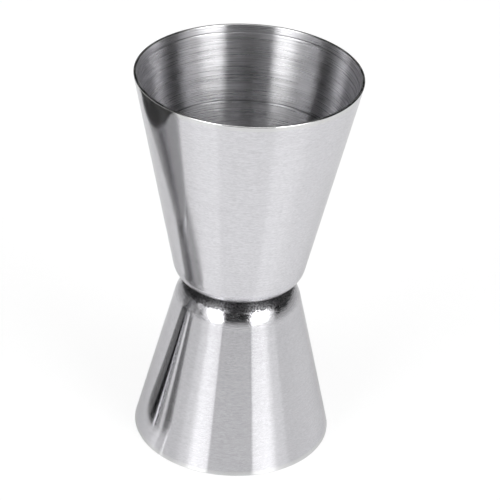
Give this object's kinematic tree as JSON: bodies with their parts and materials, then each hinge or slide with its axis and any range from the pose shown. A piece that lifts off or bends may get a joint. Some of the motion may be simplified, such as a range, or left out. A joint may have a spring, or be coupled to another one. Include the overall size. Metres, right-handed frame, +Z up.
{
  "type": "bar jigger",
  "caption": "Double-ended bar jigger: a larger and a smaller conical steel measuring cup welded floor to floor.",
  "frame": {"origin": "centre of the small cup's rim plane, where the jigger stands", "axes": "+Z up the common axis of both cups, out of the large cup's mouth; X and Y are free because both cups are round"},
  "size_m": [0.0458, 0.0458, 0.0833],
  "materials": {
    "cup_steel": "satin polished stainless steel, brushed round the axis",
    "weld_steel": "fused stainless steel, hidden between the floors"
  },
  "bodies": {
    "root": {"large_cup": "cup_steel", "small_cup": "cup_steel", "spot_welds": "weld_steel"}
  },
  "joints": []
}
